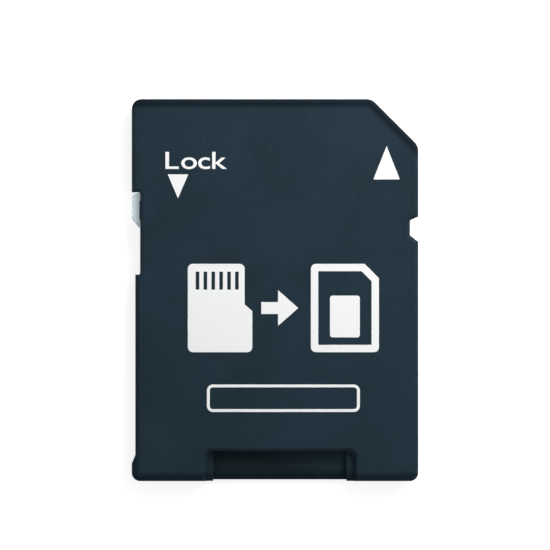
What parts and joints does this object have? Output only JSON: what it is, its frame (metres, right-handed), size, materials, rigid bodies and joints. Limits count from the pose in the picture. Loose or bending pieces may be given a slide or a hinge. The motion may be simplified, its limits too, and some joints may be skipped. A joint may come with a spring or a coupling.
{
  "type": "memory card adapter",
  "caption": "Flat plastic adapter that carries a small memory card in a full-size card socket, with contact pads, a card slot and a sliding lock switch.",
  "frame": {"origin": "under the middle of the outline, on the plane that the back face rests on", "axes": "+Y towards the leading edge with the contact pads, +Z out of the front face, +X towards the latch notch"},
  "size_m": [0.024, 0.032, 0.0021],
  "materials": {
    "cover_plastic": "fine moulded grain, dark blue-grey",
    "carrier_plastic": "smooth black moulding",
    "slider_plastic": "off-white, lightly polished",
    "contact_metal": "thin gold plating on copper alloy",
    "spring_steel": "bright rolled strip"
  },
  "bodies": {
    "housing": {"front_cover": "cover_plastic", "back_cover": "cover_plastic", "contact_carrier": "carrier_plastic", "retention_spring": "spring_steel", "lead_data_2": "contact_metal", "lead_data_3": "contact_metal", "lead_command": "contact_metal", "lead_supply": "contact_metal", "lead_clock": "contact_metal", "lead_ground": "contact_metal", "lead_data_0": "contact_metal", "lead_data_1": "contact_metal"},
    "slider": {"lock_slider": "slider_plastic"}
  },
  "joints": [
    {"name": "lock_slide", "type": "slide", "parent": "housing", "child": "slider", "axis": [0, -1, 0], "range_m": [0, 0.00385]}
  ]
}
